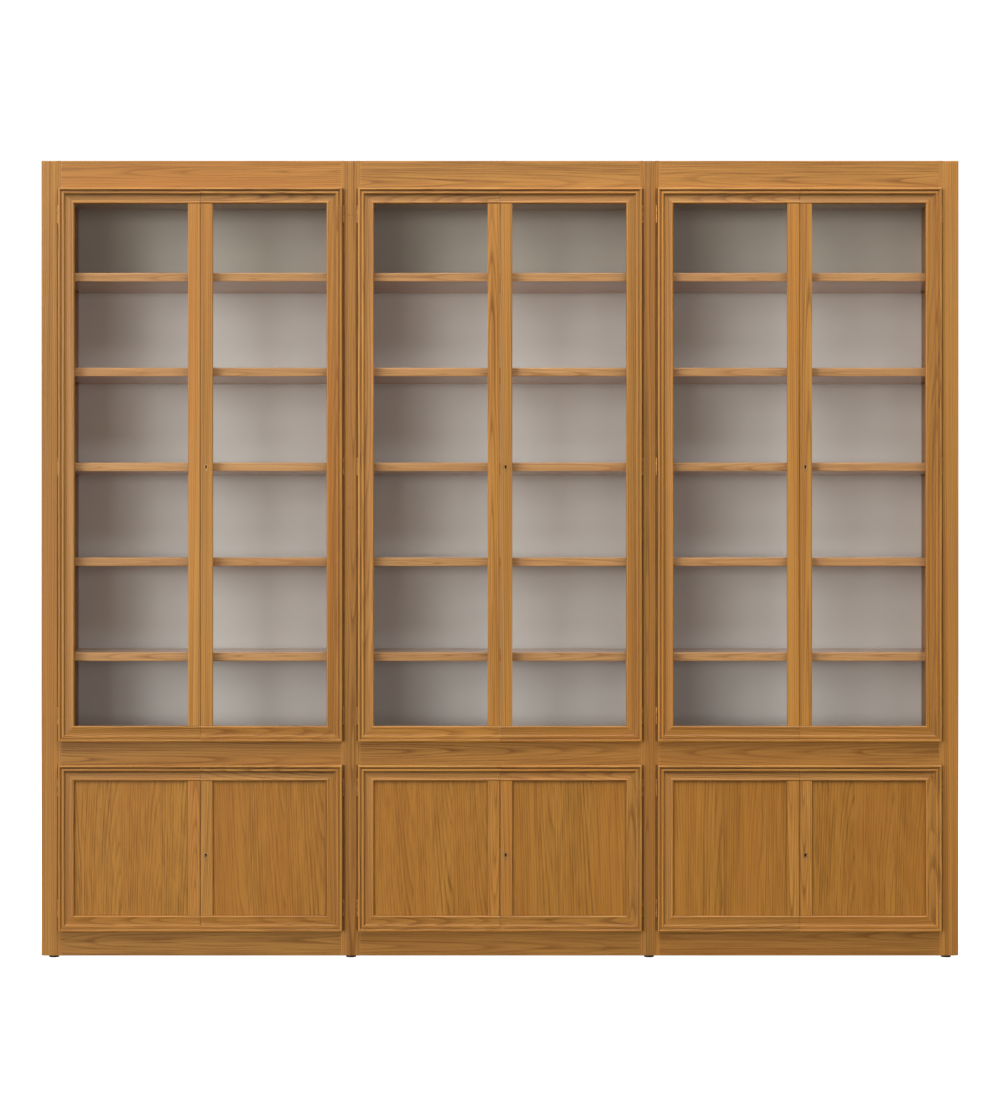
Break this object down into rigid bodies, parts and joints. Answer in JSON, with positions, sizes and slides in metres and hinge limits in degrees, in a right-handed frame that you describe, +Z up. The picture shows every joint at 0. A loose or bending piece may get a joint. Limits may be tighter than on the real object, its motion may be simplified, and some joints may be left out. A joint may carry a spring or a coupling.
{
  "type": "glazed library bookcase",
  "caption": "Tall solid-wood library bookcase in bays, with moulded hinged glass doors above panelled doors, fixed shelves, grey painted back and small brass locks.",
  "frame": {"origin": "on the floor, under the middle of the whole bookcase", "axes": "+X along the row of bays to the right, +Y from the doors to the wall, +Z up"},
  "size_m": [2.76, 0.4, 2.4],
  "materials": {
    "honey_wood": "satin oiled, open grain",
    "panel_wood": "satin oiled, arched grain",
    "shelf_wood": "satin",
    "grey_paint": "matt warm grey paint on board",
    "glass": "clear",
    "brass": "aged satin",
    "steel": "dull",
    "black_plastic": "matt"
  },
  "bodies": {
    "case": {"outer_uprights": "honey_wood", "inner_uprights": "honey_wood", "hanging_battens": "honey_wood", "plinth_rails": "honey_wood", "waist_rails": "honey_wood", "top_rails": "honey_wood", "bottom_boards": "honey_wood", "waist_boards": "honey_wood", "top_boards": "honey_wood", "back_panels": "grey_paint", "shelves": "shelf_wood", "base_shelves": "shelf_wood", "shelf_supports": "brass", "glides": "black_plastic", "case_hinge_leaves": "brass", "hinge_pins": "brass", "magnet_catches": "steel"},
    "glass_door_1": {"glass_door_1_frame": "honey_wood", "glass_door_1_pane": "glass", "glass_door_1_fittings": "brass"},
    "glass_door_2": {"glass_door_2_frame": "honey_wood", "glass_door_2_pane": "glass", "glass_door_2_fittings": "brass"},
    "glass_door_2_bolt": {"glass_door_2_bolt": "brass"},
    "glass_door_3": {"glass_door_3_frame": "honey_wood", "glass_door_3_pane": "glass", "glass_door_3_fittings": "brass"},
    "glass_door_4": {"glass_door_4_frame": "honey_wood", "glass_door_4_pane": "glass", "glass_door_4_fittings": "brass"},
    "glass_door_4_bolt": {"glass_door_4_bolt": "brass"},
    "glass_door_5": {"glass_door_5_frame": "honey_wood", "glass_door_5_pane": "glass", "glass_door_5_fittings": "brass"},
    "glass_door_6": {"glass_door_6_frame": "honey_wood", "glass_door_6_pane": "glass", "glass_door_6_fittings": "brass"},
    "glass_door_6_bolt": {"glass_door_6_bolt": "brass"},
    "base_door_1": {"base_door_1_frame": "honey_wood", "base_door_1_panel": "panel_wood", "base_door_1_fittings": "brass"},
    "base_door_2": {"base_door_2_frame": "honey_wood", "base_door_2_panel": "panel_wood", "base_door_2_fittings": "brass"},
    "base_door_2_bolt": {"base_door_2_bolt": "brass"},
    "base_door_3": {"base_door_3_frame": "honey_wood", "base_door_3_panel": "panel_wood", "base_door_3_fittings": "brass"},
    "base_door_4": {"base_door_4_frame": "honey_wood", "base_door_4_panel": "panel_wood", "base_door_4_fittings": "brass"},
    "base_door_4_bolt": {"base_door_4_bolt": "brass"},
    "base_door_5": {"base_door_5_frame": "honey_wood", "base_door_5_panel": "panel_wood", "base_door_5_fittings": "brass"},
    "base_door_6": {"base_door_6_frame": "honey_wood", "base_door_6_panel": "panel_wood", "base_door_6_fittings": "brass"},
    "base_door_6_bolt": {"base_door_6_bolt": "brass"}
  },
  "joints": [
    {"name": "glass_door_1_hinge", "type": "hinge", "parent": "case", "child": "glass_door_1", "pos_m": [-1.329, -0.181, 1.4845], "axis": [0, 0, -1], "range_deg": [0, 105]},
    {"name": "glass_door_2_hinge", "type": "hinge", "parent": "case", "child": "glass_door_2", "pos_m": [-0.471, -0.181, 1.4845], "axis": [0, 0, 1], "range_deg": [0, 90]},
    {"name": "glass_door_2_bolt_slide", "type": "slide", "parent": "glass_door_2", "child": "glass_door_2_bolt", "axis": [-1, 0, 0], "range_m": [0, 0.01]},
    {"name": "glass_door_3_hinge", "type": "hinge", "parent": "case", "child": "glass_door_3", "pos_m": [-0.429, -0.181, 1.4845], "axis": [0, 0, -1], "range_deg": [0, 90]},
    {"name": "glass_door_4_hinge", "type": "hinge", "parent": "case", "child": "glass_door_4", "pos_m": [0.429, -0.181, 1.4845], "axis": [0, 0, 1], "range_deg": [0, 90]},
    {"name": "glass_door_4_bolt_slide", "type": "slide", "parent": "glass_door_4", "child": "glass_door_4_bolt", "axis": [-1, 0, 0], "range_m": [0, 0.01]},
    {"name": "glass_door_5_hinge", "type": "hinge", "parent": "case", "child": "glass_door_5", "pos_m": [0.471, -0.181, 1.4845], "axis": [0, 0, -1], "range_deg": [0, 90]},
    {"name": "glass_door_6_hinge", "type": "hinge", "parent": "case", "child": "glass_door_6", "pos_m": [1.329, -0.181, 1.4845], "axis": [0, 0, 1], "range_deg": [0, 105]},
    {"name": "glass_door_6_bolt_slide", "type": "slide", "parent": "glass_door_6", "child": "glass_door_6_bolt", "axis": [-1, 0, 0], "range_m": [0, 0.01]},
    {"name": "base_door_1_hinge", "type": "hinge", "parent": "case", "child": "base_door_1", "pos_m": [-1.329, -0.181, 0.3325], "axis": [0, 0, -1], "range_deg": [0, 105]},
    {"name": "base_door_2_hinge", "type": "hinge", "parent": "case", "child": "base_door_2", "pos_m": [-0.471, -0.181, 0.3325], "axis": [0, 0, 1], "range_deg": [0, 90]},
    {"name": "base_door_2_bolt_slide", "type": "slide", "parent": "base_door_2", "child": "base_door_2_bolt", "axis": [-1, 0, 0], "range_m": [0, 0.01]},
    {"name": "base_door_3_hinge", "type": "hinge", "parent": "case", "child": "base_door_3", "pos_m": [-0.429, -0.181, 0.3325], "axis": [0, 0, -1], "range_deg": [0, 90]},
    {"name": "base_door_4_hinge", "type": "hinge", "parent": "case", "child": "base_door_4", "pos_m": [0.429, -0.181, 0.3325], "axis": [0, 0, 1], "range_deg": [0, 90]},
    {"name": "base_door_4_bolt_slide", "type": "slide", "parent": "base_door_4", "child": "base_door_4_bolt", "axis": [-1, 0, 0], "range_m": [0, 0.01]},
    {"name": "base_door_5_hinge", "type": "hinge", "parent": "case", "child": "base_door_5", "pos_m": [0.471, -0.181, 0.3325], "axis": [0, 0, -1], "range_deg": [0, 90]},
    {"name": "base_door_6_hinge", "type": "hinge", "parent": "case", "child": "base_door_6", "pos_m": [1.329, -0.181, 0.3325], "axis": [0, 0, 1], "range_deg": [0, 105]},
    {"name": "base_door_6_bolt_slide", "type": "slide", "parent": "base_door_6", "child": "base_door_6_bolt", "axis": [-1, 0, 0], "range_m": [0, 0.01]}
  ]
}
